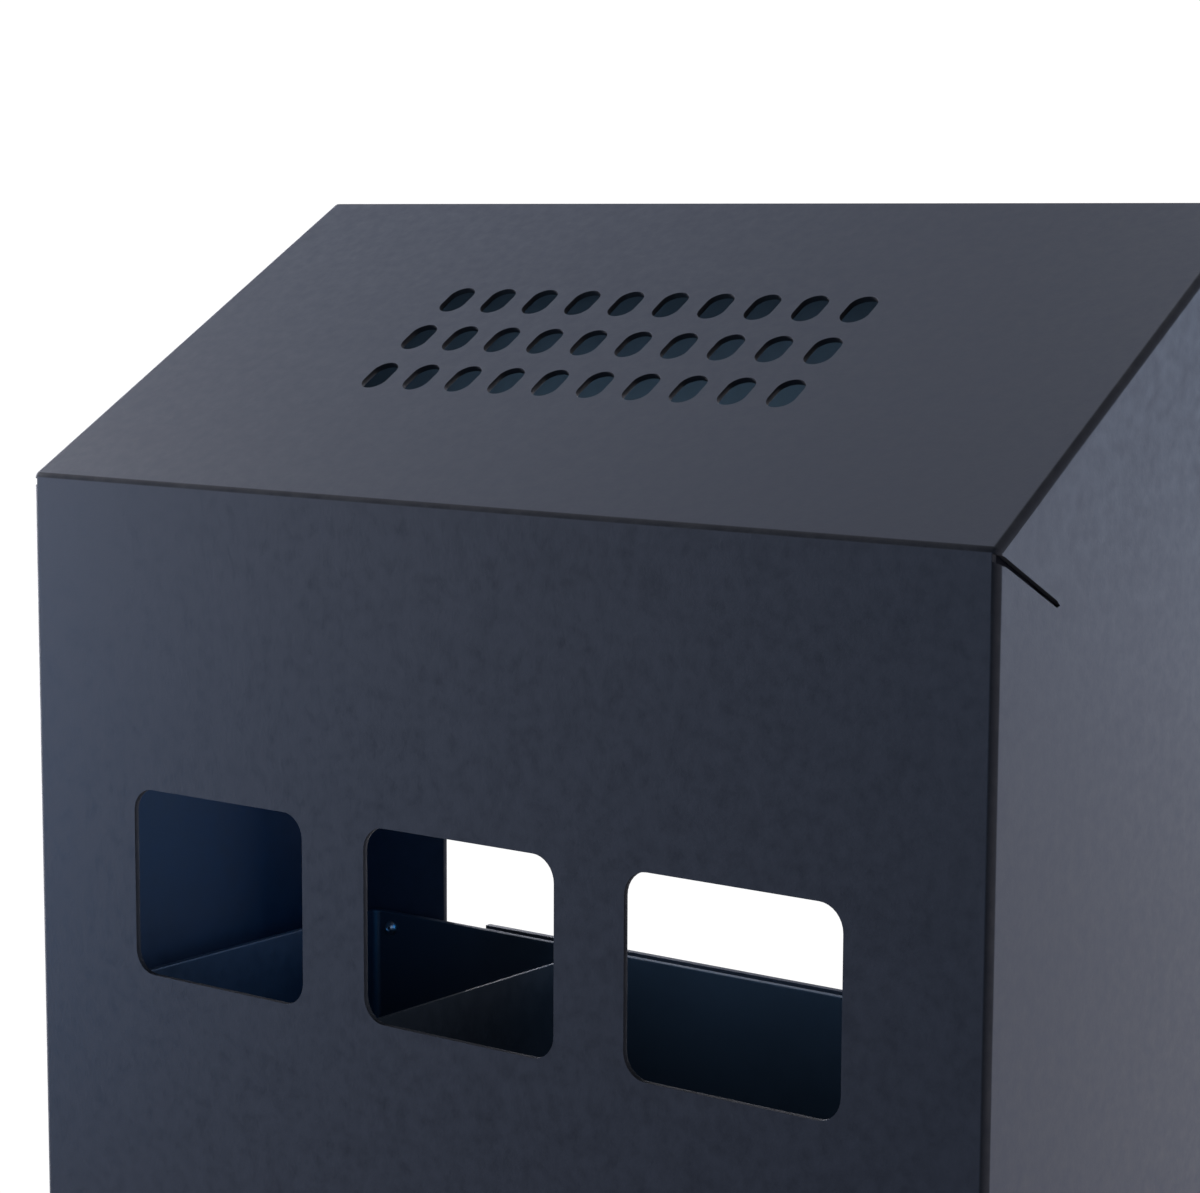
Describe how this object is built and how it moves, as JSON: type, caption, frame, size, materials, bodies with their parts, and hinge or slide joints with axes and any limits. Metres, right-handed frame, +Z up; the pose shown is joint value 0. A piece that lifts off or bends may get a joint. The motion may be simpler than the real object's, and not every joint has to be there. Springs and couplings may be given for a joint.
{
  "type": "wall-mounted ashtray bin",
  "caption": "Wall-mounted ashtray bin: a locking sheet-steel hood with drop-in openings and a vented sloped roof over a lift-out container on a wall bracket.",
  "frame": {"origin": "centre of the four wall-screw holes, on the wall face of the wall plate", "axes": "+X to the viewer's right, +Y into the wall, +Z up; the front faces -Y"},
  "size_m": [0.3, 0.125, 0.3996],
  "materials": {
    "hood_coat": "fine-texture matte powder coat, dark anthracite blue-grey",
    "bracket_coat": "matte powder coat",
    "container_coat": "satin powder coat, scuffed inside",
    "rivet": "plain aluminium blind rivet",
    "zinc": "zinc-plated steel",
    "lock_chrome": "chromed die casting",
    "lock_brass": "machined brass, nickel worn off",
    "foot_rubber": "black rubber"
  },
  "bodies": {
    "bracket": {"wall_plate": "bracket_coat", "guide_rail_left": "bracket_coat", "guide_rail_right": "bracket_coat", "rail_rivets": "rivet", "container_shelf": "bracket_coat", "shelf_rivets": "rivet", "shelf_gusset_left": "bracket_coat", "shelf_gusset_right": "bracket_coat", "lock_bracket": "bracket_coat", "lock_bracket_rivets": "rivet", "lock_barrel": "lock_chrome", "lock_washer": "zinc", "lock_nut": "zinc"},
    "lock": {"lock_plug": "lock_brass", "lock_cam": "zinc", "cam_washer": "zinc", "cam_screw": "zinc"},
    "hood": {"hood_shell": "hood_coat", "lock_keeper": "hood_coat", "hood_studs": "zinc"},
    "container": {"container_shell": "container_coat", "container_divider": "container_coat", "container_rivets": "rivet", "container_feet": "foot_rubber"}
  },
  "joints": [
    {"name": "hood_lift", "type": "slide", "parent": "bracket", "child": "hood", "axis": [0, 0, 1], "range_m": [0, 0.2]},
    {"name": "container_lift", "type": "slide", "parent": "bracket", "child": "container", "axis": [0, 0, 1], "range_m": [0, 0.05]},
    {"name": "lock_turn", "type": "hinge", "parent": "bracket", "child": "lock", "pos_m": [0, -0.086, -0.08], "axis": [0, 0, 1], "range_deg": [0, 90]}
  ]
}
